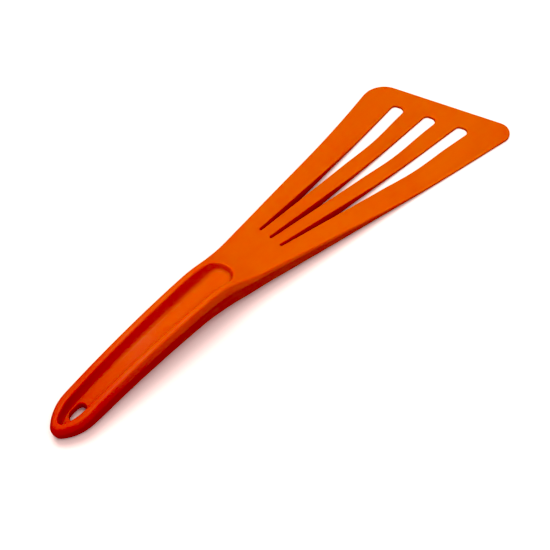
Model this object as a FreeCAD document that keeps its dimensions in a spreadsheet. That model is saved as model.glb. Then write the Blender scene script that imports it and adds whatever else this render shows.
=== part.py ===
import FreeCAD, Part
import Sketcher
import math
import os

# Slotted kitchen turner, one moulding: arched handle with an open channel, neck, thin flared blade
# with a skewed leading edge and three long slots. +X runs from the handle end to the leading edge,
# +Y is to the left of the handle, +Z is up. The origin is on the table, on the handle's middle line,
# at the handle end; the hand-in placement moves it to the bottom centre of the whole object.

V = FreeCAD.Vector
START, END, CENTRE = 1, 2, 3
ORIGIN_POINT, ACROSS_AXIS = (-1, 1), -1
QUARTER = math.pi / 2
SHARP_ANGLE = 25.0

# The uncut blank and the cutting solids only have to be larger than what they form.
BLANK_END = 330.0
BLANK_WIDTH = 120.0
BLANK_HEIGHT = 30.0
CORE_END = 140.0
MARGIN = 10.0
NODE = "moulded_turner"

# Driving dimensions: millimetres, and degrees where the name says angle.
DIMENSIONS = {
    # side view, upper line
    "end_height": 12.0,
    "crest_place": 108.0,
    "arch_radius": 390.0,
    "shoulder_place": 98.0,
    "shoulder_radius": 40.0,
    "neck_angle": 21.3,
    "neck_radius": 60.0,
    "blade_angle": 9.1,
    "sweep_place": 210.0,
    "sweep_radius": 330.0,
    "blade_thickness": 1.75,
    # side view, underside
    "belly_place": 92.0,
    "belly_radius": 386.8,
    "heel_radius": 50.0,
    "heel_angle": 10.0,
    "heel_hollow_radius": 40.0,
    "underside_angle": 3.0,
    "foot_radius": 600.0,
    "foot_place": 264.0,
    # plan view, outline
    "nose_radius": 4.0,
    "cheek_radius": 23.0,
    "handle_taper_angle": 1.04,
    "neck_place": 106.0,
    "neck_half_width": 10.3,
    "flare_radius": 80.0,
    "flare_angle": 9.75,
    "leading_edge_place": 290.8,
    "skew_angle": 19.85,
    "left_corner_radius": 14.5,
    "right_corner_radius": 7.0,
    # channel in the handle
    "channel_level": 6.0,
    "channel_draft_angle": 8.0,
    "channel_floor_crest": 18.5,
    "channel_floor_place": 98.0,
    "channel_floor_radius": 330.0,
    "channel_heel_radius": 175.6,
    "channel_heel_angle": 5.7,
    "channel_end_place": 5.5,
    "channel_end_radius": 2.2,
    "channel_cheek_radius": 30.0,
    "channel_taper_angle": 0.7,
    "channel_neck_place": 118.1,
    "channel_neck_radius": 4.65,
    # slots in the blade
    "slot_start_place": 151.0,
    "slot_start_width": 1.5,
    "slot_start_pitch": 7.25,
    "slot_start_offset": 0.5,
    "slot_end_place": 278.7,
    "slot_end_width": 7.3,
    "slot_end_pitch": 17.8,
    "slot_end_offset": -1.1,
    "slot_corner_radius": 2.9,
    # hanging hole
    "hole_place": 16.4,
    "hole_length": 10.2,
    "hole_width": 6.2,
    # rounded edges
    "edge_radius": 0.6,
    "slot_edge_radius": 0.5,
    "grip_radius": 2.5,
    "floor_radius": 1.8,
}


def fill_sheet(doc):
    """Write every driving dimension into its own named cell."""
    sheet = doc.addObject("Spreadsheet::Sheet", "Sheet")
    for row, (name, value) in enumerate(DIMENSIONS.items(), start=1):
        sheet.set(f"A{row}", name)
        sheet.set(f"B{row}", str(value))
        sheet.setAlias(f"B{row}", name)
    doc.recompute()
    return sheet


def bind(owner, prop, expression):
    """Bind a property or a constraint to the sheet; "$name" stands for a cell."""
    owner.setExpression(prop, expression.replace("$", "Sheet."))


def origin_plane(body, role):
    return next(f for f in body.Origin.OriginFeatures if f.Role == role)


def on_circle(centre, radius, angle):
    return centre + V(math.cos(angle), math.sin(angle), 0) * radius


def along(angle):
    """Unit vector at an angle from the sketch's first axis."""
    return V(math.cos(angle), math.sin(angle), 0)


def left_of(angle):
    """Unit vector a quarter turn to the left of a heading."""
    return V(-math.sin(angle), math.cos(angle), 0)


class Outline:
    """A closed outline in a sketch: pieces drawn in order, joined end to end, with bound sizes."""

    def __init__(self, body, name, role, level=None):
        self.sketch = body.newObject("Sketcher::SketchObject", name)
        self.sketch.AttachmentSupport = [(origin_plane(body, role), "")]
        self.sketch.MapMode = "FlatFace"
        if level:
            bind(self.sketch, "AttachmentOffset.Base.z", level)
        self.ends = []

    def line(self, start, end):
        index = self.sketch.addGeometry(Part.LineSegment(start, end), False)
        self.ends.append((index, START, END))
        return index

    def arc(self, centre, radius, start_angle, end_angle):
        """Arc drawn from one angle to the other, either way round."""
        circle = Part.Circle(centre, V(0, 0, 1), radius)
        turns_left = end_angle > start_angle
        low, high = sorted((start_angle, end_angle))
        index = self.sketch.addGeometry(Part.ArcOfCircle(circle, low, high), False)
        self.ends.append((index, START, END) if turns_left else (index, END, START))
        return index

    def entry(self, piece):
        return next(enter for index, enter, _ in self.ends if index == piece)

    def leaving(self, piece):
        return next(leave for index, _, leave in self.ends if index == piece)

    def join(self, first_end=0, corners=()):
        """Join each piece to the next: smoothly, or at a plain corner after the pieces in corners."""
        loop = self.ends[first_end:]
        for place, (first, _, leave) in enumerate(loop):
            second, enter, _ = loop[(place + 1) % len(loop)]
            kind = "Coincident" if first in corners else "Tangent"
            self.sketch.addConstraint(Sketcher.Constraint(kind, first, leave, second, enter))

    def size(self, name, kind, *where, expression):
        """One bound dimension; the drawn geometry already has nearly this size."""
        index = self.sketch.addConstraint(Sketcher.Constraint(kind, *where, self.now(kind, where)))
        self.sketch.renameConstraint(index, name)
        bind(self.sketch, f"Constraints.{name}", expression)

    def now(self, kind, where):
        if kind == "Radius":
            return self.sketch.Geometry[where[0]].Radius
        if kind == "Angle":
            drawn = self.sketch.Geometry[where[0]]
            step = drawn.EndPoint - drawn.StartPoint
            return math.atan2(step.y, step.x)
        point = self.sketch.getPoint(where[2], where[3])
        return point.x if kind == "DistanceX" else point.y

    def radius(self, name, piece, expression):
        self.size(name, "Radius", piece, expression=f"({expression}) * 1 mm")

    def angle(self, name, piece, expression):
        self.size(name, "Angle", piece, expression=f"({expression}) * 1 deg")

    def across(self, name, piece, end, expression):
        self.size(name, "DistanceX", *ORIGIN_POINT, piece, end, expression=f"({expression}) * 1 mm")

    def up(self, name, piece, end, expression):
        self.size(name, "DistanceY", *ORIGIN_POINT, piece, end, expression=f"({expression}) * 1 mm")

    def on_axis(self, piece, end, axis=ACROSS_AXIS):
        self.sketch.addConstraint(Sketcher.Constraint("PointOnObject", piece, end, axis))

    def lock(self, kind, *where):
        self.sketch.addConstraint(Sketcher.Constraint(kind, *where))

def deg(name):
    return math.radians(DIMENSIONS[name])


def mm(name):
    return DIMENSIONS[name]


def hollow_between(upper, steep, lower, gentle, radius):
    """Start and centre of the arc that leads a steep falling line into a gentler one."""
    step = V(math.sin(steep) - math.sin(gentle), math.cos(steep) - math.cos(gentle), 0) * radius
    gap = lower - upper - step
    run = (-gap.y - gap.x * math.tan(gentle)) / (math.tan(steep) - math.tan(gentle))
    start = upper + V(run, -run * math.tan(steep), 0)
    return start, start + V(math.sin(steep), math.cos(steep), 0) * radius


def side_profile(body):
    """The side view of the whole moulding: tangent arcs and lines above and below."""
    out = Outline(body, "SideProfile", "XZ_Plane")
    arch, shoulder = mm("arch_radius"), mm("shoulder_radius")
    hollow, sweep = mm("neck_radius"), mm("sweep_radius")
    neck, blade = deg("neck_angle"), deg("blade_angle")
    start = V(0, mm("end_height"), 0)
    arch_centre = V(mm("crest_place"), start.y - math.sqrt(arch**2 - mm("crest_place") ** 2), 0)
    reach = mm("shoulder_place") - arch_centre.x
    turn = V(mm("shoulder_place"), arch_centre.y + math.sqrt(arch**2 - reach**2), 0)
    turn_angle = math.atan2(turn.y - arch_centre.y, turn.x - arch_centre.x)
    shoulder_centre = on_circle(arch_centre, arch - shoulder, turn_angle)
    slope_start = on_circle(shoulder_centre, shoulder, QUARTER - neck)
    sweep_start = V(mm("sweep_place"), mm("blade_thickness") + sweep * (1 - math.cos(blade)), 0)
    slope_end, hollow_centre = hollow_between(slope_start, neck, sweep_start, blade, hollow)
    sweep_centre = sweep_start + V(math.sin(blade), math.cos(blade), 0) * sweep
    tip = V(BLANK_END, mm("blade_thickness"), 0)
    start_angle = math.atan2(start.y - arch_centre.y, start.x - arch_centre.x)

    top_arch = out.arc(arch_centre, arch, start_angle, turn_angle)
    top_shoulder = out.arc(shoulder_centre, shoulder, turn_angle, QUARTER - neck)
    top_neck = out.line(slope_start, slope_end)
    top_hollow = out.arc(hollow_centre, hollow, -QUARTER - neck, -QUARTER - blade)
    top_blade = out.line(hollow_centre - V(math.sin(blade), math.cos(blade), 0) * hollow, sweep_start)
    top_sweep = out.arc(sweep_centre, sweep, -QUARTER - blade, -QUARTER)
    top_flat = out.line(sweep_centre - V(0, sweep, 0), tip)
    front = out.line(tip, V(BLANK_END, 0, 0))

    belly, heel, foot = (mm(n) for n in ("belly_radius", "heel_radius", "foot_radius"))
    hollow_under = mm("heel_hollow_radius")
    under, drop = deg("underside_angle"), deg("heel_angle")
    belly_centre = V(mm("belly_place"), -math.sqrt(belly**2 - mm("belly_place") ** 2), 0)
    heel_centre = belly_centre + V(0, belly - heel, 0)
    heel_end = on_circle(heel_centre, heel, QUARTER - drop)
    foot_centre = V(mm("foot_place"), foot, 0)
    foot_start = on_circle(foot_centre, foot, -QUARTER - under)
    drop_end, under_centre = hollow_between(heel_end, drop, foot_start, under, hollow_under)
    under_flat = out.line(V(BLANK_END, 0, 0), V(foot_centre.x, 0, 0))
    under_foot = out.arc(foot_centre, foot, -QUARTER, -QUARTER - under)
    under_blade = out.line(foot_start, on_circle(under_centre, hollow_under, -QUARTER - under))
    under_hollow = out.arc(under_centre, hollow_under, -QUARTER - under, -QUARTER - drop)
    under_neck = out.line(drop_end, heel_end)
    under_heel = out.arc(heel_centre, heel, QUARTER - drop, QUARTER)
    belly_start = math.atan2(-belly_centre.y, -belly_centre.x)
    under_belly = out.arc(belly_centre, belly, QUARTER, belly_start)
    back = out.line(V(0, 0, 0), start)

    out.join(corners=(top_flat, front, under_belly, back))
    out.lock("Coincident", under_belly, out.leaving(under_belly), *ORIGIN_POINT)
    out.lock("Vertical", back)
    out.lock("Vertical", front)
    out.lock("Horizontal", top_flat)
    out.lock("Horizontal", under_flat)
    out.on_axis(under_flat, START)
    out.up("end_height", back, END, "$end_height")
    out.radius("arch", top_arch, "$arch_radius")
    out.across("crest", top_arch, CENTRE, "$crest_place")
    out.across("shoulder_start", top_arch, out.leaving(top_arch), "$shoulder_place")
    out.radius("shoulder", top_shoulder, "$shoulder_radius")
    out.angle("neck_slope", top_neck, "-$neck_angle")
    out.radius("hollow", top_hollow, "$neck_radius")
    out.angle("blade_slope", top_blade, "-$blade_angle")
    out.across("sweep_start", top_blade, END, "$sweep_place")
    out.radius("sweep", top_sweep, "$sweep_radius")
    out.up("tip_thickness", top_flat, END, "$blade_thickness")
    out.across("blank_end", top_flat, END, str(BLANK_END))
    out.radius("belly", under_belly, "$belly_radius")
    out.across("belly_crest", under_belly, CENTRE, "$belly_place")
    out.across("heel_start", under_belly, out.entry(under_belly), "$belly_place")
    out.radius("heel", under_heel, "$heel_radius")
    out.angle("under_neck_slope", under_neck, "180 - $heel_angle")
    out.radius("under_hollow", under_hollow, "$heel_hollow_radius")
    out.angle("under_slope", under_blade, "180 - $underside_angle")
    out.radius("foot", under_foot, "$foot_radius")
    out.across("foot_end", under_foot, CENTRE, "$foot_place")
    return out.sketch


def cheek_centre(nose, nose_radius, cheek, line_point, heading):
    """Centre of the arc that leaves a side line smoothly and closes round the nose circle."""
    on_line = line_point - left_of(heading) * cheek
    gap = on_line - nose
    run = gap.dot(along(heading))
    spare = run**2 - gap.dot(gap) + (cheek - nose_radius) ** 2
    return on_line + along(heading) * (math.sqrt(spare) - run)


def flip(point):
    """The same place on the other side of the middle line."""
    return V(point.x, -point.y, 0)


def plan_outline(body):
    """The view from above: round handle end, slight taper, flared blade, skewed leading edge."""
    out = Outline(body, "PlanOutline", "XY_Plane")
    taper, flare, skew = deg("handle_taper_angle"), deg("flare_angle"), deg("skew_angle")
    nose_radius, cheek, blend = mm("nose_radius"), mm("cheek_radius"), mm("flare_radius")
    left_corner, right_corner = mm("left_corner_radius"), mm("right_corner_radius")
    nose = V(nose_radius, 0, 0)
    neck = V(mm("neck_place"), mm("neck_half_width"), 0)
    cheek_mid = cheek_centre(nose, nose_radius, cheek, neck, taper)
    nose_angle = math.atan2(nose.y - cheek_mid.y, nose.x - cheek_mid.x)
    blend_mid = neck + left_of(taper) * blend
    flare_start = blend_mid - left_of(flare) * blend
    ahead, aside = along(skew), left_of(skew)
    lead = V(mm("leading_edge_place"), 0, 0)

    def corner_centre(side, radius):
        """Centre of a corner arc, tangent inside the leading edge and the blade's left or right side."""
        outward = V(-math.sin(flare), side * math.cos(flare), 0)
        start = V(flare_start.x, side * flare_start.y, 0) - outward * radius
        back_line = lead - ahead * radius
        run = (start - back_line).dot(outward) / aside.dot(outward)
        return back_line + aside * run

    left_mid, right_mid = corner_centre(1, left_corner), corner_centre(-1, right_corner)
    left_heading, right_heading = QUARTER + flare, -QUARTER - flare

    behind, beyond, beside = -2 * MARGIN, BLANK_END + MARGIN, BLANK_WIDTH / 2 + MARGIN
    frame_corners = [
        V(behind, -beside, 0), V(beyond, -beside, 0), V(beyond, beside, 0), V(behind, beside, 0)
    ]
    frame = [out.line(a, b) for a, b in zip(frame_corners, frame_corners[1:] + frame_corners[:1])]
    out.join(corners=frame)
    for piece in frame:
        out.sketch.addConstraint(Sketcher.Constraint("Block", piece))

    end_arc = out.arc(nose, nose_radius, 2 * math.pi - nose_angle, nose_angle)
    cheek_left = out.arc(cheek_mid, cheek, nose_angle, QUARTER + taper)
    side_left = out.line(cheek_mid + left_of(taper) * cheek, neck)
    blend_left = out.arc(blend_mid, blend, taper - QUARTER, flare - QUARTER)
    edge_left = out.line(flare_start, on_circle(left_mid, left_corner, left_heading))
    corner_left = out.arc(left_mid, left_corner, left_heading, skew)
    lead_edge = out.line(on_circle(left_mid, left_corner, skew), on_circle(right_mid, right_corner, skew))
    corner_right = out.arc(right_mid, right_corner, skew, right_heading)
    edge_right = out.line(on_circle(right_mid, right_corner, right_heading), flip(flare_start))
    blend_right = out.arc(flip(blend_mid), blend, QUARTER - flare, QUARTER - taper)
    side_right = out.line(flip(neck), flip(cheek_mid + left_of(taper) * cheek))
    cheek_right = out.arc(flip(cheek_mid), cheek, -QUARTER - taper, -nose_angle)
    out.join(first_end=len(frame))

    out.on_axis(end_arc, CENTRE)
    out.radius("nose", end_arc, "$nose_radius")
    out.across("nose_place", end_arc, CENTRE, "$nose_radius")
    crossing = out.sketch.addGeometry(Part.Point(lead), True)
    out.on_axis(crossing, START)
    out.on_axis(crossing, START, lead_edge)
    out.across("leading_edge", crossing, START, "$leading_edge_place")
    out.angle("skew", lead_edge, "$skew_angle - 90")
    for side, sign, cheek_piece, side_piece, blend_piece, edge_piece, corner_piece, end in (
        ("left", "", cheek_left, side_left, blend_left, edge_left, corner_left, END),
        ("right", "-", cheek_right, side_right, blend_right, edge_right, corner_right, START),
    ):
        turned = "" if side == "left" else "180 - "
        out.radius(f"cheek_{side}", cheek_piece, "$cheek_radius")
        out.angle(f"taper_{side}", side_piece, f"{turned}$handle_taper_angle")
        out.across(f"neck_{side}", side_piece, end, "$neck_place")
        out.up(f"neck_width_{side}", side_piece, end, f"{sign}$neck_half_width")
        out.radius(f"blend_{side}", blend_piece, "$flare_radius")
        out.angle(f"flare_{side}", edge_piece, f"{turned}$flare_angle")
        out.radius(f"corner_{side}", corner_piece, f"${side}_corner_radius")
    return out.sketch


def channel_outline(body):
    """Plan of the handle channel at a fixed level: pointed at the handle end, round at the neck."""
    out = Outline(body, "ChannelOutline", "XY_Plane", level="$channel_level * 1 mm")
    taper, cheek = deg("channel_taper_angle"), mm("channel_cheek_radius")
    end_radius, neck_radius = mm("channel_end_radius"), mm("channel_neck_radius")
    end_mid = V(mm("channel_end_place") + end_radius, 0, 0)
    neck_mid = V(mm("channel_neck_place") - neck_radius, 0, 0)
    side_end = neck_mid + left_of(taper) * neck_radius
    cheek_mid = cheek_centre(end_mid, end_radius, cheek, side_end, taper)
    end_angle = math.atan2(end_mid.y - cheek_mid.y, end_mid.x - cheek_mid.x)
    side_start = cheek_mid + left_of(taper) * cheek

    end_arc = out.arc(end_mid, end_radius, 2 * math.pi - end_angle, end_angle)
    cheek_left = out.arc(cheek_mid, cheek, end_angle, QUARTER + taper)
    side_left = out.line(side_start, side_end)
    neck_arc = out.arc(neck_mid, neck_radius, QUARTER + taper, -QUARTER - taper)
    side_right = out.line(flip(side_end), flip(side_start))
    cheek_right = out.arc(flip(cheek_mid), cheek, -QUARTER - taper, -end_angle)
    out.join()

    out.on_axis(end_arc, CENTRE)
    out.across("end_place", end_arc, CENTRE, "$channel_end_place + $channel_end_radius")
    out.radius("end", end_arc, "$channel_end_radius")
    out.radius("cheek_left", cheek_left, "$channel_cheek_radius")
    out.radius("cheek_right", cheek_right, "$channel_cheek_radius")
    out.angle("taper_left", side_left, "$channel_taper_angle")
    out.angle("taper_right", side_right, "180 - $channel_taper_angle")
    out.on_axis(neck_arc, CENTRE)
    out.across("neck_place", neck_arc, CENTRE, "$channel_neck_place - $channel_neck_radius")
    out.radius("neck", neck_arc, "$channel_neck_radius")
    return out.sketch


def channel_floor(body):
    """Side view of what lies under the channel, up to its floor: one long arc and a falling end."""
    out = Outline(body, "ChannelFloor", "XZ_Plane")
    floor, heel, fall = mm("channel_floor_radius"), mm("channel_heel_radius"), deg("channel_heel_angle")
    crest = V(mm("channel_floor_place"), mm("channel_floor_crest"), 0)
    floor_centre, heel_centre = crest - V(0, floor, 0), crest - V(0, heel, 0)
    heel_end = on_circle(heel_centre, heel, QUARTER - fall)
    left, right, low = -MARGIN, CORE_END, -BLANK_HEIGHT
    rise = math.sqrt(floor**2 - (crest.x - left) ** 2)
    start = floor_centre + V(left - crest.x, rise, 0)
    end = V(right, heel_end.y - (right - heel_end.x) * math.tan(fall), 0)

    floor_arc = out.arc(floor_centre, floor, math.atan2(rise, left - crest.x), QUARTER)
    heel_arc = out.arc(heel_centre, heel, QUARTER, QUARTER - fall)
    slope = out.line(heel_end, end)
    ahead = out.line(end, V(right, low, 0))
    below = out.line(V(right, low, 0), V(left, low, 0))
    behind = out.line(V(left, low, 0), start)
    out.join(corners=(slope, ahead, below, behind))

    out.lock("Vertical", ahead)
    out.lock("Vertical", behind)
    out.lock("Horizontal", below)
    out.across("left_end", below, END, str(left))
    out.across("right_end", below, START, str(right))
    out.up("low_end", below, START, str(low))
    out.radius("floor", floor_arc, "$channel_floor_radius")
    out.across("floor_place", floor_arc, CENTRE, "$channel_floor_place")
    out.up("floor_crest", floor_arc, out.leaving(floor_arc), "$channel_floor_crest")
    out.across("heel_start", floor_arc, out.leaving(floor_arc), "$channel_floor_place")
    out.radius("heel", heel_arc, "$channel_heel_radius")
    out.angle("slope", slope, "-$channel_heel_angle")
    return out.sketch


def slot_outlines(body):
    """Three slots that fan out from the neck; each ends in a round-cornered edge along the skew."""
    out = Outline(body, "SlotOutlines", "XY_Plane")
    skew, corner = deg("skew_angle"), mm("slot_corner_radius")
    start_radius = mm("slot_start_width") / 2
    half_span = mm("slot_end_width") / 2 - corner
    ahead, aside = along(skew), left_of(skew)
    for name, side in (("left", 1), ("middle", 0), ("right", -1)):
        fan = side * mm("slot_end_pitch")
        start_mid = V(
            mm("slot_start_place") + start_radius,
            mm("slot_start_offset") + side * mm("slot_start_pitch"),
            0,
        )
        end_mid = V(mm("slot_end_place") - fan * math.tan(skew), mm("slot_end_offset") + fan, 0)
        left_mid = end_mid - ahead * corner + aside * half_span
        right_mid = end_mid - ahead * corner - aside * half_span

        def side_heading(corner_mid, sign):
            """Heading of a side line, tangent to the start circle and to a corner circle."""
            gap = corner_mid - start_mid
            return math.atan2(gap.y, gap.x) + sign * math.asin((corner - start_radius) / gap.Length)

        left, right = side_heading(left_mid, 1), side_heading(right_mid, -1)
        first = len(out.ends)
        start_arc = out.arc(start_mid, start_radius, 3 * QUARTER + right, QUARTER + left)
        out.line(
            start_mid + left_of(left) * start_radius,
            left_mid + left_of(left) * corner,
        )
        corner_left = out.arc(left_mid, corner, QUARTER + left, skew)
        out.line(left_mid + ahead * corner, right_mid + ahead * corner)
        corner_right = out.arc(right_mid, corner, skew, right - QUARTER)
        out.line(
            right_mid - left_of(right) * corner,
            start_mid - left_of(right) * start_radius,
        )
        out.join(first_end=first)

        out.radius(f"{name}_start", start_arc, "$slot_start_width / 2")
        out.across(f"{name}_start_place", start_arc, CENTRE, "$slot_start_place + $slot_start_width / 2")
        out.up(f"{name}_start_height", start_arc, CENTRE, f"$slot_start_offset + {side} * $slot_start_pitch")
        for which, piece, sign in (("left", corner_left, 1), ("right", corner_right, -1)):
            half = f"{sign} * ($slot_end_width / 2 - $slot_corner_radius)"
            out.radius(f"{name}_{which}_corner", piece, "$slot_corner_radius")
            out.across(
                f"{name}_{which}_place", piece, CENTRE,
                f"$slot_end_place - {side} * $slot_end_pitch * tan($skew_angle * 1 deg)"
                f" - $slot_corner_radius * cos($skew_angle * 1 deg) - {half} * sin($skew_angle * 1 deg)",
            )
            out.up(
                f"{name}_{which}_height", piece, CENTRE,
                f"$slot_end_offset + {side} * $slot_end_pitch"
                f" - $slot_corner_radius * sin($skew_angle * 1 deg) + {half} * cos($skew_angle * 1 deg)",
            )
    return out.sketch


def hole_outline(body):
    """Oblong hanging hole through the channel floor."""
    out = Outline(body, "HoleOutline", "XY_Plane")
    radius = mm("hole_width") / 2
    reach = mm("hole_length") / 2 - radius
    front, rear = V(mm("hole_place") + reach, 0, 0), V(mm("hole_place") - reach, 0, 0)
    step = V(0, radius, 0)
    rear_arc = out.arc(rear, radius, 3 * QUARTER, QUARTER)
    out.line(rear + step, front + step)
    front_arc = out.arc(front, radius, QUARTER, -QUARTER)
    out.line(front - step, rear - step)
    out.join()
    for name, piece, sign in (("rear", rear_arc, "-"), ("front", front_arc, "+")):
        out.on_axis(piece, CENTRE)
        out.radius(f"{name}_end", piece, "$hole_width / 2")
        out.across(f"{name}_place", piece, CENTRE, f"$hole_place {sign} ($hole_length - $hole_width) / 2")
    return out.sketch


def pad(body, name, sketch, length, symmetric=False, taper=None):
    feature = body.newObject("PartDesign::Pad", name)
    feature.Profile = sketch
    feature.SideType = "Symmetric" if symmetric else "One side"
    feature.Length = length
    if taper:
        bind(feature, "TaperAngle", taper)
    body.Document.recompute()
    return feature


def cut_through(body, name, sketch):
    """Pocket through everything on both sides of the sketch; it must take material away."""
    before = body.Shape.Volume
    feature = body.newObject("PartDesign::Pocket", name)
    feature.Profile = sketch
    feature.Type = "ThroughAll"
    feature.SideType = "Symmetric"
    body.Document.recompute()
    if not feature.Shape.Volume < before:
        raise RuntimeError(f"{name} cut nothing")
    return feature


def sharp_loops(shape):
    """Closed chains of the edges where two faces meet at a clear angle."""
    chains = []
    for number, edge in enumerate(shape.Edges, start=1):
        faces = shape.ancestorsOfType(edge, Part.Face)
        if len(faces) != 2:
            continue
        middle = edge.valueAt(sum(edge.ParameterRange) / 2)
        normals = [face.normalAt(*face.Surface.parameter(middle)) for face in faces]
        if math.degrees(normals[0].getAngle(normals[1])) < SHARP_ANGLE:
            continue
        merged = {
            "edges": [(number, edge)],
            "ends": {tuple(round(v, 3) for v in corner.Point) for corner in edge.Vertexes},
            "box": edge.BoundBox,
        }
        for chain in [chain for chain in chains if chain["ends"] & merged["ends"]]:
            merged["edges"] = sorted(merged["edges"] + chain["edges"], key=lambda pair: pair[0])
            merged["ends"] |= chain["ends"]
            merged["box"].add(chain["box"])
            chains.remove(chain)
        chains.append(merged)
    return chains


def rim_name(loop):
    """Which rim of the moulding a loop of sharp edges is, told from its size and place."""
    box = loop["box"]
    if box.XLength > mm("leading_edge_place") / 2:
        return "outline_top" if box.ZMax > 2 * mm("end_height") else "outline_under"
    if box.XMin > mm("neck_place"):
        return "slot_top" if box.ZMax > mm("end_height") else "slot_under"
    return "hole" if box.XLength < 2 * mm("hole_length") else "channel_rim"


def round_rims(body, name, rim, radius):
    """Round every loop of one kind with one fillet."""
    base = body.Tip
    edges = [
        f"Edge{number}"
        for loop in sharp_loops(base.Shape)
        if rim_name(loop) == rim
        for number, _ in loop["edges"]
    ]
    feature = body.newObject("PartDesign::Fillet", name)
    feature.Base = (base, edges)
    bind(feature, "Radius", f"{radius} * 1 mm")
    body.Document.recompute()
    return feature


def underside_radius(place):
    """The underside's rounding: large along the handle, fading out along the blade."""
    fade = (place - mm("neck_place")) / (mm("sweep_place") - mm("neck_place"))
    fade = min(1.0, max(0.0, fade))
    return mm("grip_radius") + (mm("edge_radius") - mm("grip_radius")) * fade


def round_underside(doc, body):
    """Variable fillet round the whole lower outline; the finished moulding."""
    finished = doc.addObject("Part::Fillet", NODE)
    finished.Base = body
    loop = next(loop for loop in sharp_loops(body.Shape) if rim_name(loop) == "outline_under")
    finished.Edges = [
        (number, *(underside_radius(edge.valueAt(end).x) for end in edge.ParameterRange))
        for number, edge in loop["edges"]
    ]
    finished.Label = NODE
    doc.recompute()
    return finished


def channel_core(doc):
    """The solid that forms the channel: drafted walls, curved floor with a rounded foot."""
    core = doc.addObject("PartDesign::Body", "ChannelCore")
    pad(core, "ChannelBlank", channel_outline(core), BLANK_HEIGHT, taper="$channel_draft_angle * 1 deg")
    cut_through(core, "FloorCut", channel_floor(core))
    base = core.Tip
    lowest = [
        f"Edge{number}"
        for loop in sharp_loops(base.Shape)
        if loop["box"].ZMax < mm("channel_floor_crest") + mm("floor_radius")
        for number, _ in loop["edges"]
    ]
    rounded = core.newObject("PartDesign::Fillet", "FloorRound")
    rounded.Base = (base, lowest)
    bind(rounded, "Radius", "$floor_radius * 1 mm")
    doc.recompute()
    return core


def moulding(doc):
    """Blank, outline, channel, slots, hole and rounded rims, in the order they are cut."""
    body = doc.addObject("PartDesign::Body", "Turner")
    pad(body, "ArchedBlank", side_profile(body), BLANK_WIDTH, symmetric=True)
    cut_through(body, "OutlineCut", plan_outline(body))
    channel = body.newObject("PartDesign::Boolean", "Channel")
    channel.Type = "Cut"
    channel.setObjects([channel_core(doc)])
    doc.recompute()
    cut_through(body, "Slots", slot_outlines(body))
    cut_through(body, "HangingHole", hole_outline(body))
    round_rims(body, "TopRim", "outline_top", "$edge_radius")
    round_rims(body, "ChannelRim", "channel_rim", "$edge_radius")
    round_rims(body, "SlotTopRims", "slot_top", "$slot_edge_radius")
    round_rims(body, "SlotUnderRims", "slot_under", "$slot_edge_radius")
    round_rims(body, "HoleRims", "hole", "$edge_radius")
    finished = round_underside(doc, body)
    box = finished.Shape.optimalBoundingBox(False, False)
    finished.Placement.Base = V(-box.Center.x, -box.Center.y, -box.ZMin)
    doc.recompute()
    return finished


def check(doc, part):
    for item in doc.Objects:
        if {"Invalid", "Error"} & set(item.State):
            raise RuntimeError(f"{item.Name} failed: {item.State}")
    shape = part.Shape
    if shape.isNull() or not shape.isValid() or len(shape.Solids) != 1:
        raise RuntimeError(f"{part.Label} is not one valid solid")


def main():
    doc = FreeCAD.newDocument("SlottedTurner")
    fill_sheet(doc)
    part = moulding(doc)
    check(doc, part)
    os.makedirs("parts", exist_ok=True)
    part.Shape.exportStep(f"parts/{part.Label}.step")
    box = part.Shape.optimalBoundingBox(False, False)
    print(f"{part.Label}: {box.XLength:.1f} x {box.YLength:.1f} x {box.ZLength:.1f} mm")
    print(f"x {box.XMin:.3f} {box.XMax:.3f} y {box.YMin:.3f} {box.YMax:.3f} z {box.ZMin:.3f} {box.ZMax:.3f}")
    print(f"volume {part.Shape.Volume / 1000:.1f} cm3")


main()
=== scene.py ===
import cmath
import math

import bpy
import numpy as np
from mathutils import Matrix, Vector
from mathutils.geometry import delaunay_2d_cdt


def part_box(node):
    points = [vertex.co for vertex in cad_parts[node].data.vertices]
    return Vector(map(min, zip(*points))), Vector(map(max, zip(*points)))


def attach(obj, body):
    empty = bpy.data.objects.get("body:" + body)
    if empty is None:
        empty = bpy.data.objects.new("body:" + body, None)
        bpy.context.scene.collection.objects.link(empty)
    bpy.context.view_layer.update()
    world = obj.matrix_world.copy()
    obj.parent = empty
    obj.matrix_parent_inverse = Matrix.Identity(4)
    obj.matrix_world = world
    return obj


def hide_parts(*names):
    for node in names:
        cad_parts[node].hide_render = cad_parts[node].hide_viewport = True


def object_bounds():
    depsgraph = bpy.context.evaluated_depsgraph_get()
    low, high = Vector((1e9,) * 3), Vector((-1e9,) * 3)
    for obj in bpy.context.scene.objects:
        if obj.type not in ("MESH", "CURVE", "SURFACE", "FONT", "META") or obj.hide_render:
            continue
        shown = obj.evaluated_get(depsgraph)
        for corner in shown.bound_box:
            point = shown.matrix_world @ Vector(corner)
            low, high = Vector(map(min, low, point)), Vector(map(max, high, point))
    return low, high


# Slotted nylon turner, lying with the open side of its handle up. All drawing is in millimetres
# from the handle end (x) and from the handle's middle line (y, to the left); a plan point is the
# complex number x + iy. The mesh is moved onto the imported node's box and scaled to metres.

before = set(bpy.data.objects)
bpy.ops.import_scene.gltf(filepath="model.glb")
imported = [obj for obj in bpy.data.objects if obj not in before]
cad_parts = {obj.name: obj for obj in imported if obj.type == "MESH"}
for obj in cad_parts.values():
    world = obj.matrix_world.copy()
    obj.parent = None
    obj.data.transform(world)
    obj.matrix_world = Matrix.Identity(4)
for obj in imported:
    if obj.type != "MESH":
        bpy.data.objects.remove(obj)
CAD_LOW, CAD_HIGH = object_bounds()
NODE = "moulded_turner"
QUARTER = math.pi / 2


# ---------------------------------------------------------------- small helpers

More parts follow.
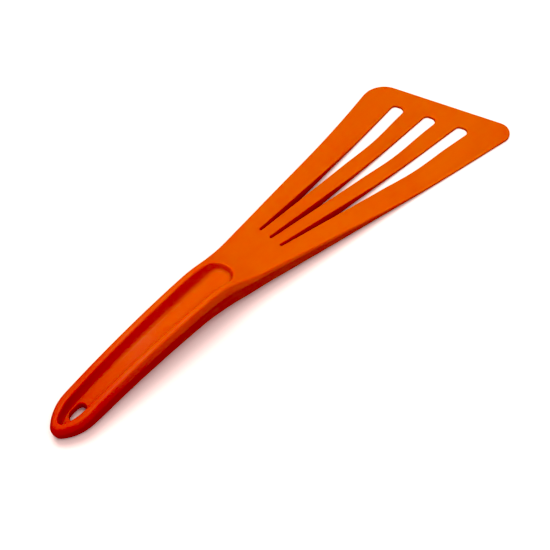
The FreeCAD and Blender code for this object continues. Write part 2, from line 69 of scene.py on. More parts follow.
def smooth(edge0, edge1, x):
    """Smooth 0 to 1 step between two places."""
    t = np.clip((np.asarray(x, float) - edge0) / (edge1 - edge0), 0, 1)
    return t * t * (3 - 2 * t)


def mix(a, b, t):
    return a + (b - a) * t


def along(angle):
    return cmath.exp(1j * angle)


def left_of(angle):
    return 1j * along(angle)


def dot(a, b):
    return (a * b.conjugate()).real


# ---------------------------------------------------------------- heights along the turner

def curve_height(x, pieces, flat):
    """Height of a chain of arcs and slopes. Each piece is (end x, "arc", cx, cz, r, side) or
    (end x, "line", x0, z0, slope); beyond the last piece the height is flat."""
    x = np.asarray(x, float)
    z = np.full(x.shape, float(flat))
    done = np.zeros(x.shape, bool)
    for end, kind, *data in pieces:
        here = ~done & (x <= end)
        if kind == "arc":
            cx, cz, r, side = data
            z[here] = cz + side * np.sqrt(np.maximum(r * r - (x[here] - cx) ** 2, 0))
        else:
            x0, z0, slope = data
            z[here] = z0 + slope * (x[here] - x0)
        done |= here
    return z


# upper line
END_HEIGHT, CREST, ARCH_R, SHOULDER_X, SHOULDER_R = 12.0, 108.0, 390.0, 98.0, 40.0
NECK_SLOPE, HOLLOW_R, BLADE_SLOPE = math.radians(21.3), 60.0, math.radians(9.1)
SWEEP_X, SWEEP_R, TIP_THICK = 210.0, 330.0, 1.75
# underside
BELLY_X, BELLY_R, HEEL_R, HEEL_SLOPE = 92.0, 386.8, 50.0, math.radians(10)
HEEL_HOLLOW_R, UNDER_SLOPE, FOOT_R, FOOT_X = 40.0, math.radians(3), 600.0, 264.0
# channel floor
FLOOR_CREST, FLOOR_X, FLOOR_R, FLOOR_HEEL_R, FLOOR_SLOPE = 18.5, 98.0, 330.0, 175.6, math.radians(5.7)
FULL_THICK = 14.0


def hollow_between(upper, steep, lower, gentle, radius):
    """Start and centre of the arc that leads a steep falling line into a gentler one."""
    step_x = (math.sin(steep) - math.sin(gentle)) * radius
    step_z = (math.cos(steep) - math.cos(gentle)) * radius
    gap_x, gap_z = lower[0] - upper[0] - step_x, lower[1] - upper[1] - step_z
    run = (-gap_z - gap_x * math.tan(gentle)) / (math.tan(steep) - math.tan(gentle))
    start = (upper[0] + run, upper[1] - run * math.tan(steep))
    return start, (start[0] + math.sin(steep) * radius, start[1] + math.cos(steep) * radius)


def top_pieces():
    """The upper line: arch, shoulder, neck slope, hollow, blade slope, sweep, flat tip."""
    arch_cz = END_HEIGHT - math.sqrt(ARCH_R**2 - CREST**2)
    turn = math.asin((CREST - SHOULDER_X) / ARCH_R)
    shoulder_cx = CREST - (ARCH_R - SHOULDER_R) * math.sin(turn)
    shoulder_cz = arch_cz + (ARCH_R - SHOULDER_R) * math.cos(turn)
    neck_x = shoulder_cx + SHOULDER_R * math.sin(NECK_SLOPE)
    neck_z = shoulder_cz + SHOULDER_R * math.cos(NECK_SLOPE)
    # backwards from the flat tip to the blade slope
    sweep_z = TIP_THICK + SWEEP_R * (1 - math.cos(BLADE_SLOPE))
    sweep_cx = SWEEP_X + SWEEP_R * math.sin(BLADE_SLOPE)
    hollow, centre = hollow_between((neck_x, neck_z), NECK_SLOPE, (SWEEP_X, sweep_z), BLADE_SLOPE, HOLLOW_R)
    return [
        (SHOULDER_X, "arc", CREST, arch_cz, ARCH_R, 1),
        (neck_x, "arc", shoulder_cx, shoulder_cz, SHOULDER_R, 1),
        (hollow[0], "line", neck_x, neck_z, -math.tan(NECK_SLOPE)),
        (centre[0] - HOLLOW_R * math.sin(BLADE_SLOPE), "arc", *centre, HOLLOW_R, -1),
        (SWEEP_X, "line", SWEEP_X, sweep_z, -math.tan(BLADE_SLOPE)),
        (sweep_cx, "arc", sweep_cx, TIP_THICK + SWEEP_R, SWEEP_R, -1),
    ]


def under_pieces():
    """The lower line: arched handle, falling neck, hollow, long gentle slope, foot, flat."""
    belly_cz = -math.sqrt(BELLY_R**2 - BELLY_X**2)
    heel_cz = belly_cz + BELLY_R - HEEL_R
    heel = (BELLY_X + HEEL_R * math.sin(HEEL_SLOPE), heel_cz + HEEL_R * math.cos(HEEL_SLOPE))
    foot = (FOOT_X - FOOT_R * math.sin(UNDER_SLOPE), FOOT_R * (1 - math.cos(UNDER_SLOPE)))
    hollow, centre = hollow_between(heel, HEEL_SLOPE, foot, UNDER_SLOPE, HEEL_HOLLOW_R)
    return [
        (BELLY_X, "arc", BELLY_X, belly_cz, BELLY_R, 1),
        (heel[0], "arc", BELLY_X, heel_cz, HEEL_R, 1),
        (hollow[0], "line", *heel, -math.tan(HEEL_SLOPE)),
        (centre[0] - HEEL_HOLLOW_R * math.sin(UNDER_SLOPE), "arc", *centre, HEEL_HOLLOW_R, -1),
        (foot[0], "line", *foot, -math.tan(UNDER_SLOPE)),
        (FOOT_X, "arc", FOOT_X, FOOT_R, FOOT_R, -1),
    ]


def floor_pieces():
    """The channel's floor: one long arc and a falling end under the neck."""
    heel_x = FLOOR_X + FLOOR_HEEL_R * math.sin(FLOOR_SLOPE)
    heel_z = FLOOR_CREST - FLOOR_HEEL_R * (1 - math.cos(FLOOR_SLOPE))
    return [
        (FLOOR_X, "arc", FLOOR_X, FLOOR_CREST - FLOOR_R, FLOOR_R, 1),
        (heel_x, "arc", FLOOR_X, FLOOR_CREST - FLOOR_HEEL_R, FLOOR_HEEL_R, 1),
        (LEAD_X, "line", heel_x, heel_z, -math.tan(FLOOR_SLOPE)),
    ]


LEAD_X, SKEW, FLARE = 290.8, math.radians(19.85), math.radians(9.75)
TOP, UNDER, FLOOR = top_pieces(), under_pieces(), floor_pieces()


def z_top(x):
    return curve_height(x, TOP, TIP_THICK)


def z_under(x):
    return curve_height(x, UNDER, 0)


def z_floor(x):
    return curve_height(x, FLOOR, 0)


def stoutness(x):
    """0 on the thin blade, 1 on the full handle."""
    return np.clip((z_top(x) - z_under(x) - TIP_THICK) / (FULL_THICK - TIP_THICK), 0, 1)


# ---------------------------------------------------------------- plan curves

MAX_TURN = 0.16


def sample(segments, step):
    """Points and normals towards the open air along a closed chain of arcs and lines.
    Arc: (centre, radius, start angle, end angle, side); line: (start, end, side)."""
    points, normals = [], []
    for segment in segments:
        if len(segment) == 5:
            centre, radius, a0, a1, side = segment
            count = max(3, math.ceil(abs(a1 - a0) * radius / step), math.ceil(abs(a1 - a0) / MAX_TURN))
            for k in range(count):
                direction = along(a0 + (a1 - a0) * k / count)
                points.append(centre + radius * direction)
                normals.append(side * direction)
        else:
            start, end, side = segment
            count = max(1, math.ceil(abs(end - start) / step))
            direction = (end - start) / abs(end - start)
            for k in range(count):
                points.append(start + (end - start) * k / count)
                normals.append(side * 1j * direction)
    points, normals = np.array(points), np.array(normals)
    travel = np.roll(points, -1) - points
    if np.median((1j * travel * normals.conj()).real) < 0:
        points, normals = points[::-1].copy(), normals[::-1].copy()
    return points, normals


def cheek_centre(nose, nose_radius, cheek, line_point, heading):
    """Centre of the arc that leaves a side line smoothly and closes round the nose circle."""
    on_line = line_point - left_of(heading) * cheek
    gap = on_line - nose
    run = dot(gap, along(heading))
    spare = run**2 - abs(gap) ** 2 + (cheek - nose_radius) ** 2
    return on_line + along(heading) * (math.sqrt(spare) - run)


# the upper edge starts NOSE_GAP from the handle end, because the side bulges out below it
NOSE_GAP, NOSE_R, CHEEK_R = 1.3, 3.6, 22.0
LEFT_CORNER, RIGHT_CORNER = 14.5, 7.0
TAPER, NECK_X, NECK_HALF, BLEND_R = math.radians(1.04), 106.0, 10.3, 80.0


def outline(step):
    """The upper edge of the turner's side, seen from above."""
    nose = complex(NOSE_GAP + NOSE_R, 0)
    neck = complex(NECK_X, NECK_HALF)
    cheek = cheek_centre(nose, NOSE_R, CHEEK_R, neck, TAPER)
    nose_angle = cmath.phase(nose - cheek)
    blend = neck + left_of(TAPER) * BLEND_R
    flare_start = blend - left_of(FLARE) * BLEND_R
    ahead, aside = along(SKEW), left_of(SKEW)

    def corner(side, radius):
        outward = complex(-math.sin(FLARE), side * math.cos(FLARE))
        start = complex(flare_start.real, side * flare_start.imag) - outward * radius
        back_line = LEAD_X - ahead * radius
        return back_line + aside * dot(start - back_line, outward) / dot(aside, outward)

    left, right = corner(1, LEFT_CORNER), corner(-1, RIGHT_CORNER)
    side_out = left_of(TAPER) * CHEEK_R
    flare_left = QUARTER + FLARE
    return sample([
        (nose, NOSE_R, 2 * math.pi - nose_angle, nose_angle, 1),
        (cheek, CHEEK_R, nose_angle, QUARTER + TAPER, 1),
        (cheek + side_out, neck, 1),
        (blend, BLEND_R, TAPER - QUARTER, FLARE - QUARTER, -1),
        (flare_start, left + LEFT_CORNER * along(flare_left), 1),
        (left, LEFT_CORNER, flare_left, SKEW, 1),
        (left + LEFT_CORNER * ahead, right + RIGHT_CORNER * ahead, 1),
        (right, RIGHT_CORNER, SKEW, -flare_left, 1),
        (right + RIGHT_CORNER * along(-flare_left), flare_start.conjugate(), 1),
        (blend.conjugate(), BLEND_R, QUARTER - FLARE, QUARTER - TAPER, -1),
        (neck.conjugate(), (cheek + side_out).conjugate(), 1),
        (cheek.conjugate(), CHEEK_R, -QUARTER - TAPER, -nose_angle, 1),
    ], step)


CH_END_X, CH_END_R, CH_CHEEK_R = 4.9, 2.6, 26.0
CH_TAPER, CH_NECK_X, CH_NECK_R = math.radians(1.35), 120.3, 7.45


def channel(step):
    """The channel's upper edge: pointed at the handle end, round at the neck."""
    end = complex(CH_END_X + CH_END_R, 0)
    neck = complex(CH_NECK_X - CH_NECK_R, 0)
    side_end = neck + left_of(CH_TAPER) * CH_NECK_R
    cheek = cheek_centre(end, CH_END_R, CH_CHEEK_R, side_end, CH_TAPER)
    end_angle = cmath.phase(end - cheek)
    side_start = cheek + left_of(CH_TAPER) * CH_CHEEK_R
    return sample([
        (end, CH_END_R, 2 * math.pi - end_angle, end_angle, -1),
        (cheek, CH_CHEEK_R, end_angle, QUARTER + CH_TAPER, -1),
        (side_start, side_end, -1),
        (neck, CH_NECK_R, QUARTER + CH_TAPER, -QUARTER - CH_TAPER, -1),
        (side_end.conjugate(), side_start.conjugate(), -1),
        (cheek.conjugate(), CH_CHEEK_R, -QUARTER - CH_TAPER, -end_angle, -1),
    ], step)


SLOT_X0, SLOT_W0, SLOT_PITCH0, SLOT_Y0 = 151.0, 1.5, 7.25, 0.5
SLOT_X1, SLOT_W1, SLOT_PITCH1, SLOT_Y1, SLOT_CORNER = 278.7, 7.3, 17.8, -1.1, 2.9
SLOT_BOW, BOW_X, BOW_REACH = 0.8, 243.0, 26.0


def slot(side, step):
    """One slot: narrow round start, widening run with a bowed right edge, wide end cut along the skew."""
    radius, corner = SLOT_W0 / 2, SLOT_CORNER
    fan = side * SLOT_PITCH1
    start = complex(SLOT_X0 + radius, SLOT_Y0 + side * SLOT_PITCH0)
    end = complex(SLOT_X1 - fan * math.tan(SKEW), SLOT_Y1 + fan)
    ahead, aside = along(SKEW), left_of(SKEW)
    half = SLOT_W1 / 2 - corner
    mids = {1: end - ahead * corner + aside * half, -1: end - ahead * corner - aside * half}

    def heading(sign):
        gap = mids[sign] - start
        return cmath.phase(gap) + sign * math.asin((corner - radius) / abs(gap))

    left, right = heading(1), heading(-1)
    points, normals = sample([
        (start, radius, 3 * QUARTER + right, QUARTER + left, -1),
        (start + left_of(left) * radius, mids[1] + left_of(left) * corner, -1),
        (mids[1], corner, QUARTER + left, SKEW, -1),
        (mids[1] + ahead * corner, mids[-1] + ahead * corner, -1),
        (mids[-1], corner, SKEW, right - QUARTER, -1),
        (mids[-1] - left_of(right) * corner, start - left_of(right) * radius, -1),
    ], step)
    off_peak = np.clip((points.real - BOW_X) / BOW_REACH, -1, 1)
    bow = SLOT_BOW * np.cos(off_peak * QUARTER) ** 2 * (normals.imag > 0)
    return points - 1j * bow, normals


HOLE_X, HOLE_L, HOLE_W = 16.4, 10.2, 6.2


def hole(step):
    radius = HOLE_W / 2
    reach = HOLE_L / 2 - radius
    rear, front, up = HOLE_X - reach, HOLE_X + reach, 1j * radius
    return sample([
        (complex(rear), radius, 3 * QUARTER, QUARTER, -1),
        (rear + up, front + up, -1),
        (complex(front), radius, QUARTER, -QUARTER, -1),
        (front - up, rear - up, -1),
    ], step)


# ---------------------------------------------------------------- rings of the rounded rims

def ring(base, offset, height):
    """One closed ring of mesh points: plan points moved towards the air by offset, at a height
    given as a function of x."""
    points, normals = base
    plan = points + normals * offset
    return np.column_stack([plan.real, plan.imag, height(plan.real)])


# roundings of the upper edge and of the foot, on the thin blade and on the full handle
EDGE_THIN, EDGE_FULL = 0.5, 1.4
SIDE_FOOT_THIN, SIDE_FOOT_FULL = 0.5, 1.8
# the crease's depth as a share of the thickness, and where the handle's share turns into the blade's
CREASE_HANDLE, CREASE_BLADE, CREASE_X0, CREASE_X1 = 0.26, 0.175, 110.0, 138.0
# lean of the upper band at its top and at the crease, of the wall, and of the wall at the handle end
LEAN_TOP, LEAN_CREASE, LEAN_WALL, LEAN_END = (math.radians(a) for a in (29, 22, 4, 15))
END_REACH, END_BOW, BAND_BOW, CREASE_TUCK = 24.0, 1.8, 0.35, 0.02
FULL_BULGE = 0.5


def side_rings(base):
    """The outer side: rounded upper edge, leaning upper band, crease, steep wall, rounded foot."""
    x = base[0].real
    stout = stoutness(x)
    thick = z_top(x) - z_under(x)
    edge = mix(EDGE_THIN, EDGE_FULL, stout)
    foot = mix(SIDE_FOOT_THIN, SIDE_FOOT_FULL, stout)
    crease = thick * mix(CREASE_HANDLE, CREASE_BLADE, smooth(CREASE_X0, CREASE_X1, x))
    crease = np.maximum(crease, edge)
    past_end = smooth(0, END_REACH, x)
    lean_wall = mix(LEAN_END, LEAN_WALL, past_end)
    round_end = QUARTER - LEAN_TOP
    drop0 = edge * (1 - math.cos(round_end))
    run = crease - drop0
    bulge = run * math.tan((LEAN_TOP + LEAN_CREASE) / 2)
    inset = -bulge * (1 - smooth(0, FULL_BULGE, stout))
    rings = []
    for phi in np.linspace(0, round_end, 6):
        rings.append(ring(
            base, inset + edge * (math.sin(phi) - math.sin(round_end)),
            lambda at, d=edge * (1 - math.cos(phi)): z_top(at) - d))
    steepening = math.tan(LEAN_TOP) / math.tan(LEAN_CREASE) - 1
    for t in (0.2, 0.4, 0.6, 0.8, 0.94):
        offset = bulge * t * (1 + steepening * (1 - t) * BAND_BOW)
        rings.append(ring(base, inset + offset, lambda at, d=drop0 + run * t: z_top(at) - d))
    # the crease where the leaning band meets the wall: a tight rounding
    wall = thick - crease - foot * (1 - np.sin(lean_wall))
    drop_in = wall * np.tan(lean_wall)
    bow = mix(END_BOW, 1, past_end)
    rings.append(ring(base, inset + bulge - CREASE_TUCK, lambda at, d=crease: z_top(at) - d))
    for t in (0.03, 0.12, 0.36, 0.6, 0.84):
        rings.append(ring(
            base, inset + bulge - drop_in * t**bow, lambda at, d=crease + wall * t: z_top(at) - d))
    for turn in np.linspace(0, 1, 8):
        phi = lean_wall + (QUARTER - lean_wall) * turn
        offset = bulge - drop_in - foot * (np.cos(lean_wall) - np.cos(phi))
        rings.append(ring(
            base, inset + offset, lambda at, u=foot * (1 - np.sin(phi)): z_under(at) + u))
    return rings


SLOT_EDGE, SLOT_DRAFT, SLOT_DRAFT_MAX = 0.42, 0.02, 0.12


def slot_rings(base):
    x = base[0].real
    thick = z_top(x) - z_under(x)
    edge = SLOT_EDGE
    rings = [
        ring(base, edge * (math.sin(phi) - 1), lambda at, d=edge * (1 - math.cos(phi)): z_top(at) - d)
        for phi in np.linspace(0, QUARTER, 5)
    ]
    draft = np.minimum(SLOT_DRAFT * thick, SLOT_DRAFT_MAX)
    for t in (0.33, 0.67):
        rings.append(ring(base, draft * t, lambda at, d=mix(edge, thick - edge, t): z_top(at) - d))
    for phi in np.linspace(QUARTER, 0, 5):
        rings.append(ring(
            base, draft + edge * (math.sin(phi) - 1),
            lambda at, u=edge * (1 - math.cos(phi)): z_under(at) + u))
    return rings


CHANNEL_EDGE, WALL_DRAFT, FOOT_ROUND = 1.0, math.radians(14), 2.0
# the wall leans less in the narrow end of the channel
SQUEEZE, SQUEEZE_X0, SQUEEZE_X1 = 0.38, 23.0, 50.0


def channel_rings(base):
    """Rounded rim, drafted wall and rounded foot of the channel."""
    x = base[0].real
    depth = z_top(x) - z_floor(x)
    edge = CHANNEL_EDGE
    end = QUARTER - WALL_DRAFT
    squeeze = mix(SQUEEZE, 1, smooth(SQUEEZE_X0, SQUEEZE_X1, x))
    rings = [
        ring(base, edge * (math.sin(phi) - math.sin(end)),
             lambda at, d=edge * (1 - math.cos(phi)): z_top(at) - d)
        for phi in np.linspace(0, end, 6)
    ]
    drop0 = edge * (1 - math.cos(end))
    foot_drop = FOOT_ROUND * (1 - math.cos(end))
    run = depth - drop0 - foot_drop
    slope = math.tan(WALL_DRAFT)
    for t in (0.25, 0.5, 0.75):
        rings.append(ring(base, squeeze * run * slope * t, lambda at, d=drop0 + run * t: z_top(at) - d))
    for phi in np.linspace(end, 0, 7):
        offset = run * slope + FOOT_ROUND * (math.sin(end) - math.sin(phi))
        rings.append(ring(
            base, squeeze * offset, lambda at, u=FOOT_ROUND * (1 - math.cos(phi)): z_floor(at) + u))
    return rings


HOLE_EDGE, HOLE_WAIST = 0.35, 0.05


def hole_rings(base):
    edge = HOLE_EDGE
    rings = [
        ring(base, edge * (math.sin(phi) - 1), lambda at, d=edge * (1 - math.cos(phi)): z_floor(at) - d)
        for phi in np.linspace(0, QUARTER, 5)
    ]
    rings.append(ring(base, HOLE_WAIST, lambda at: (z_floor(at) + z_under(at)) / 2))
    for phi in np.linspace(QUARTER, 0, 5):
        rings.append(ring(
            base, edge * (math.sin(phi) - 1), lambda at, u=edge * (1 - math.cos(phi)): z_under(at) + u))
    return rings


# ---------------------------------------------------------------- the mesh

# distance between mesh points along the rims and on the skins, and how close two points may come
OUTLINE_STEP, CHANNEL_STEP, HOLE_STEP, SLOT_STEP = 1.1, 0.9, 0.6, 1.1
SKIN_STEP, FLOOR_STEP, RIM_CLEARANCE, SAME_POINT = 1.7, 1.3, 0.75, 1e-7
# places tested at a time, which keeps the arrays small
BATCH = 1000


class Moulding:
    """Collects points and faces of one closed surface."""

    def __init__(self):
        self.points, self.faces = [], []

    def add_points(self, points):
        first = len(self.points)
        self.points.extend(map(tuple, points))
        return np.arange(first, len(self.points))

    def add_rim(self, rings):
        """Quads between neighbouring rings; returns the first and the last ring's point numbers."""
        numbers = [self.add_points(r) for r in rings]
        for upper, lower in zip(numbers, numbers[1:]):
            ahead_u, ahead_l = np.roll(upper, -1), np.roll(lower, -1)
            self.faces.extend(zip(upper, ahead_u, ahead_l, lower))
        return numbers[0], numbers[-1]

    def add_skin(self, loops, height, spacing, facing_up):
        """Triangles of a face bounded by loops of points already there."""
        every = np.concatenate(loops)
        plan = np.array([self.points[n][:2] for n in every])
        starts = np.cumsum([0] + [len(loop) for loop in loops])
        edges = [
            (int(a + k), int(a + (k + 1) % (b - a)))
            for a, b in zip(starts, starts[1:]) for k in range(b - a)
        ]
        inner = inner_points(plan, edges, spacing)
        inner_numbers = self.add_points(np.column_stack([inner, height(inner[:, 0])]))
        coords = [Vector(p) for p in np.vstack([plan, inner])]
        numbers = np.concatenate([every, inner_numbers])
        verts, _, faces, origin, _, _ = delaunay_2d_cdt(coords, edges, [], 0, SAME_POINT, True)
        triangles = np.array([[origin[c][0] for c in face] for face in faces])
        all_plan = np.vstack([plan, inner])
        keep = inside(all_plan[triangles].mean(axis=1), plan, edges)
        triangles = numbers[triangles[keep]]
        if not facing_up:
            triangles = triangles[:, ::-1]
        self.faces.extend(map(tuple, triangles))


def inside(places, plan, edges):
    """Even-odd test of many places against all boundary edges at once."""
    a, b = plan[[e[0] for e in edges]], plan[[e[1] for e in edges]]
    odd = np.zeros(len(places), bool)
    for first in range(0, len(places), BATCH):
        p = places[first:first + BATCH]
        py = p[:, 1:2]
        crosses = (a[:, 1] > py) != (b[:, 1] > py)
        with np.errstate(divide="ignore", invalid="ignore"):
            at = a[:, 0] + (py - a[:, 1]) * (b[:, 0] - a[:, 0]) / (b[:, 1] - a[:, 1])
        odd[first:first + BATCH] = (crosses & (p[:, 0:1] < at)).sum(axis=1) % 2 == 1
    return odd


def inner_points(plan, edges, spacing):
    """A triangular grid of points inside the boundary, clear of it."""
    low, high = plan.min(axis=0), plan.max(axis=0)
    row = spacing * math.sqrt(3) / 2
    grid = []
    for k, y in enumerate(np.arange(low[1], high[1], row)):
        xs = np.arange(low[0] + (k % 2) * spacing / 2, high[0], spacing)
        grid.append(np.column_stack([xs, np.full(len(xs), y)]))
    grid = np.vstack(grid)
    grid = grid[inside(grid, plan, edges)]
    keep = np.ones(len(grid), bool)
    for first in range(0, len(grid), BATCH):
        part = grid[first:first + BATCH]
        gap = np.hypot(part[:, 0:1] - plan[:, 0], part[:, 1:2] - plan[:, 1]).min(axis=1)
        keep[first:first + BATCH] = gap > RIM_CLEARANCE * spacing
    return grid[keep]


def turner_mesh():
    body = Moulding()
    side_top, side_under = body.add_rim(side_rings(outline(OUTLINE_STEP)))
    channel_top, channel_foot = body.add_rim(channel_rings(channel(CHANNEL_STEP)))
    hole_top, hole_under = body.add_rim(hole_rings(hole(HOLE_STEP)))
    slots = [body.add_rim(slot_rings(slot(side, SLOT_STEP))) for side in (1, 0, -1)]
    body.add_skin([side_top, channel_top] + [s[0] for s in slots], z_top, SKIN_STEP, True)
    body.add_skin([side_under, hole_under] + [s[1] for s in slots], z_under, SKIN_STEP, False)
    body.add_skin([channel_foot, hole_top], z_floor, FLOOR_STEP, True)
    return body


def put_in_frame(points):
    """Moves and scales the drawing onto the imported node's box, in metres."""
    low, high = (np.array(corner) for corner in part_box(NODE))
    points = np.array(points)
    share = (points - points.min(axis=0)) / (points.max(axis=0) - points.min(axis=0))
    return low + (high - low) * share


def build_turner():
    body = turner_mesh()
    mesh = bpy.data.meshes.new("turner")
    points = [tuple(p) for p in put_in_frame(body.points)]
    faces = [tuple(int(n) for n in face) for face in body.faces]
    mesh.from_pydata(points, [], faces)
    mesh.validate()
    mesh.update()
    mesh.shade_smooth()
    return place("turner", mesh)


# ---------------------------------------------------------------- materials

def set_span(node, low, high, to_low, to_high):
    """Fills in a Map Range node."""
    for name, number in zip(("From Min", "From Max", "To Min", "To Max"), (low, high, to_low, to_high)):
        node.inputs[name].default_value = number


class Nodes:
    """Short spellings for building a node material."""

    def __init__(self, name):
        self.material = bpy.data.materials.new(name)
        self.material.use_nodes = True
        self.tree = self.material.node_tree
        self.shader = self.tree.nodes["Principled BSDF"]

    def add(self, kind, **inputs):
        node = self.tree.nodes.new(kind)
        for name, value in inputs.items():
            self.put(node, name.replace("_", " "), value)
        return node

    def put(self, node, name, value):
        if isinstance(value, bpy.types.NodeSocket):
            self.tree.links.new(value, node.inputs[name])
        else:
            node.inputs[name].default_value = value

    def noise(self, coords, scale, detail=2.0, roughness=0.5):
        node = self.add("ShaderNodeTexNoise", Scale=scale, Detail=detail, Roughness=roughness)
        self.tree.links.new(coords, node.inputs["Vector"])
        return node.outputs["Fac"]

    def span(self, value, low, high, to_low, to_high):
        """Smooth step from to_low to to_high while the value goes from low to high."""
        node = self.add("ShaderNodeMapRange", Value=value)
        node.interpolation_type = "SMOOTHSTEP"
        set_span(node, low, high, to_low, to_high)
        return node.outputs["Result"]

    def math(self, operation, a, b):
        node = self.add("ShaderNodeMath")
        node.operation = operation
        self.put(node, 0, a)
        self.put(node, 1, b)
        return node.outputs[0]

    def blend(self, share, colour_a, colour_b):
        node = self.add("ShaderNodeMix")
        node.data_type = "RGBA"
        self.put(node, 0, share)
        self.put(node, 6, colour_a)
        self.put(node, 7, colour_b)
        return node.outputs[2]

    def stretch(self, coords, scale):
        node = self.add("ShaderNodeMapping")
        node.inputs["Scale"].default_value = scale
        self.tree.links.new(coords, node.inputs["Vector"])
        return node.outputs["Vector"]

    def bump(self, height, strength, distance, below=None):
        node = self.add("ShaderNodeBump", Strength=strength, Distance=distance)
        self.tree.links.new(height, node.inputs["Height"])
        if below:
            self.tree.links.new(below, node.inputs["Normal"])
        return node.outputs["Normal"]


# painted shade: the handle is coloured darker and redder towards its end, where its top slopes away from
# the light; the blade has the lit colour
SHADED_HANDLE_END = (0.458, 0.041, 0.0018, 1)
LIT_BLADE = (0.545, 0.115, 0.0030, 1)
# lighter colour of the sharp edges: rubbed nylon, and partly a painted highlight where the rims catch the
# light
WORN_AND_HIGHLIT = (0.60, 0.155, 0.0080, 1)
# place along the turner, in metres, where the painted shade of the handle end ends and the blade's lit
# colour begins
SHADE_FULL_X, SHADE_GONE_X, LIT_SHARE = -0.18, 0.0, 0.95
CLOUD_SHARE, FLOW_SHARE = 0.16, 0.12
HIGHLIT_FROM, HIGHLIT_TO, RUB_SHINE = 0.52, 0.60, 0.08
# waves per metre of each kind of unevenness; the flow marks are drawn out along the turner
CLOUD_SCALE, SHEEN_SCALE, WEAR_SCALE, SWELL_SCALE, GRAIN_SCALE = 26.0, 70.0, 90.0, 160.0, 2600.0
FLOW_SCALE = (22.0, 110.0, 110.0)
ROUGH_LOW, ROUGH_HIGH, ROUGH_GRAIN = 0.46, 0.56, 0.08
# strength, and height in metres, of the moulding's swells and of the mould's grain
SWELL, GRAIN = (0.25, 0.0004), (0.20, 0.00005)
LIGHT_REACH, REACH_BY_COLOUR = 0.006, (1.0, 0.12, 0.05)


def nylon():
    """Satin moulded nylon: faint clouding and flow marks, fine eroded-mould grain, painted shade darker and
    redder towards the handle end, and rubbed edges whose lighter colour is partly a painted highlight.
    """
    m = Nodes("orange_nylon")
    coords = m.add("ShaderNodeTexCoord").outputs["Object"]
    along_x = m.add("ShaderNodeSeparateXYZ", Vector=coords).outputs["X"]
    # painted shade: darker and redder towards the handle end
    lit_by_place = m.span(along_x, SHADE_FULL_X, SHADE_GONE_X, 0.0, LIT_SHARE)
    clouds = m.span(m.noise(coords, CLOUD_SCALE, 3.0), 0.35, 0.65, 0.0, 1.0)
    flow = m.noise(m.stretch(coords, FLOW_SCALE), 1.0, 4.0, 0.6)
    streaks = m.span(flow, 0.38, 0.66, 0.0, 1.0)
    mottle = m.math("ADD", m.math("MULTIPLY", clouds, CLOUD_SHARE), m.math("MULTIPLY", streaks, FLOW_SHARE))
    uneven = m.math("SUBTRACT", mottle, (CLOUD_SHARE + FLOW_SHARE) / 2)
    shaded_mottle = m.blend(m.math("ADD", lit_by_place, uneven), SHADED_HANDLE_END, LIT_BLADE)
    pointed = m.add("ShaderNodeNewGeometry").outputs["Pointiness"]
    worn = m.span(m.noise(coords, WEAR_SCALE, 4.0), 0.3, 0.7, 0.3, 1.0)
    # lighter sharp edges: wear, and partly a painted highlight on the rims
    wear_and_highlight = m.math("MULTIPLY", m.span(pointed, HIGHLIT_FROM, HIGHLIT_TO, 0.0, 1.0), worn)
    m.put(m.shader, "Base Color", m.blend(wear_and_highlight, shaded_mottle, WORN_AND_HIGHLIT))

    grain = m.noise(coords, GRAIN_SCALE, 2.0, 0.6)
    sheen = m.span(m.noise(coords, SHEEN_SCALE, 5.0, 0.65), 0.3, 0.7, ROUGH_LOW, ROUGH_HIGH)
    satin = m.math("ADD", sheen, m.math("MULTIPLY", grain, ROUGH_GRAIN))
    m.put(m.shader, "Roughness", m.math("SUBTRACT", satin, m.math("MULTIPLY", wear_and_highlight, RUB_SHINE)))
    soft = m.bump(m.noise(coords, SWELL_SCALE, 2.0), *SWELL)
    m.put(m.shader, "Normal", m.bump(grain, *GRAIN, soft))
    m.put(m.shader, "Specular IOR Level", 0.30)
    m.put(m.shader, "IOR", 1.4)
    m.put(m.shader, "Subsurface Weight", 0.85)
    m.put(m.shader, "Subsurface Radius", REACH_BY_COLOUR)
    m.put(m.shader, "Subsurface Scale", LIGHT_REACH)
    return m.material


PAPER, PAPER_BOUNCE = (0.99, 0.87, 0.82, 1), (0.35, 0.22, 0.19, 1)


def paper():
    """Matt pale ground; it throws less light back onto the turner than the camera sees."""
    m = Nodes("pale_floor")
    ray = m.add("ShaderNodeLightPath").outputs
    bounced = m.math("MAXIMUM", ray["Is Diffuse Ray"], ray["Is Glossy Ray"])
    m.put(m.shader, "Base Color", m.blend(bounced, PAPER, PAPER_BOUNCE))
    m.put(m.shader, "Roughness", 0.9)
    m.put(m.shader, "Specular IOR Level", 0.0)
    return m.material


# ---------------------------------------------------------------- stage

# camera: the point it looks at and its distance in metres, angles in degrees, lens in millimetres
LOOK_AT, AZIMUTH, ELEVATION, DISTANCE = (-0.0083, -0.0079, 0.0), 223.6, 56.6, 0.752
LENS, SENSOR, NEAREST, FARTHEST = 94.8, 36.0, 0.01, 50.0
FLOOR_HALF, FLOOR_GAP = 3.0, 0.0001
# warm light; the sky is dark below SKY_LOW and full above SKY_HIGH, both as a rise of the direction
WARM = (1.0, 0.86, 0.86)
SKY_LIGHT, SKY_LOW, SKY_HIGH = 0.95, 0.30, 0.95
LIGHT_DISTANCE = 1.5
BLACK_LEVEL = (0.02, 0.046, 0.03)


def place(name, data):
    thing = bpy.data.objects.new(name, data)
    bpy.context.scene.collection.objects.link(thing)
    return thing


def aim(thing, target, azimuth, elevation, distance):
    """Puts a camera or a lamp at a distance from its target and points it there."""
    a, e = math.radians(azimuth), math.radians(elevation)
    outward = Vector((math.cos(e) * math.cos(a), math.cos(e) * math.sin(a), math.sin(e)))
    thing.location = Vector(target) + distance * outward
    thing.rotation_euler = (-outward).to_track_quat("-Z", "Y").to_euler()


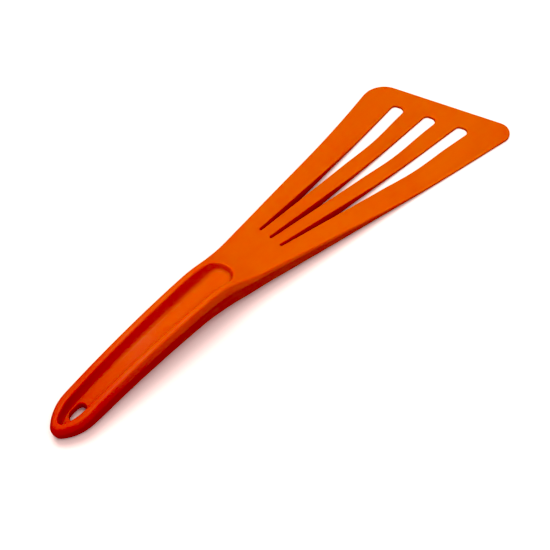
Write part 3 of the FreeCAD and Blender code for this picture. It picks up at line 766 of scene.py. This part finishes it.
def add_camera():
    data = bpy.data.cameras.new("camera")
    camera = place("camera", data)
    aim(camera, LOOK_AT, AZIMUTH, ELEVATION, DISTANCE)
    data.sensor_width = SENSOR
    data.lens = LENS
    data.clip_start, data.clip_end = NEAREST, FARTHEST
    bpy.context.scene.camera = camera


def add_light(name, azimuth, elevation, size, power):
    data = bpy.data.lights.new(name, "AREA")
    data.shape = "DISK"
    data.size = size
    data.energy = power
    data.color = WARM
    aim(place(name, data), (0, 0, 0), azimuth, elevation, LIGHT_DISTANCE)


def add_floor():
    mesh = bpy.data.meshes.new("floor")
    corners = [(x * FLOOR_HALF, y * FLOOR_HALF, 0) for x, y in ((-1, -1), (1, -1), (1, 1), (-1, 1))]
    mesh.from_pydata(corners, [], [(0, 1, 2, 3)])
    mesh.materials.append(paper())
    floor = place("floor", mesh)
    floor.location.z = CAD_LOW[2] - FLOOR_GAP


def add_world():
    """Soft sky that is dark at the horizon and brightest overhead."""
    world = bpy.data.worlds.new("studio")
    bpy.context.scene.world = world
    world.use_nodes = True
    nodes, links = world.node_tree.nodes, world.node_tree.links
    split = nodes.new("ShaderNodeSeparateXYZ")
    links.new(nodes.new("ShaderNodeTexCoord").outputs["Generated"], split.inputs[0])
    rise = nodes.new("ShaderNodeMapRange")
    rise.interpolation_type = "SMOOTHSTEP"
    set_span(rise, SKY_LOW, SKY_HIGH, 0.0, SKY_LIGHT)
    links.new(split.outputs["Z"], rise.inputs["Value"])
    links.new(rise.outputs["Result"], nodes["Background"].inputs["Strength"])
    nodes["Background"].inputs["Color"].default_value = (*WARM, 1)


def set_view():
    """Plain colours, with the deepest shades pulled down a little."""
    view = bpy.context.scene.view_settings
    view.view_transform = "Standard"
    view.use_curve_mapping = True
    view.curve_mapping.black_level = BLACK_LEVEL
    view.curve_mapping.update()


turner = build_turner()
turner.data.materials.append(nylon())
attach(turner, "root")
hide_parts(NODE)

add_floor()
add_world()
add_camera()
add_light("overhead", azimuth=90, elevation=82, size=0.7, power=15.0)
add_light("front", azimuth=240, elevation=64, size=0.9, power=10.6)
set_view()
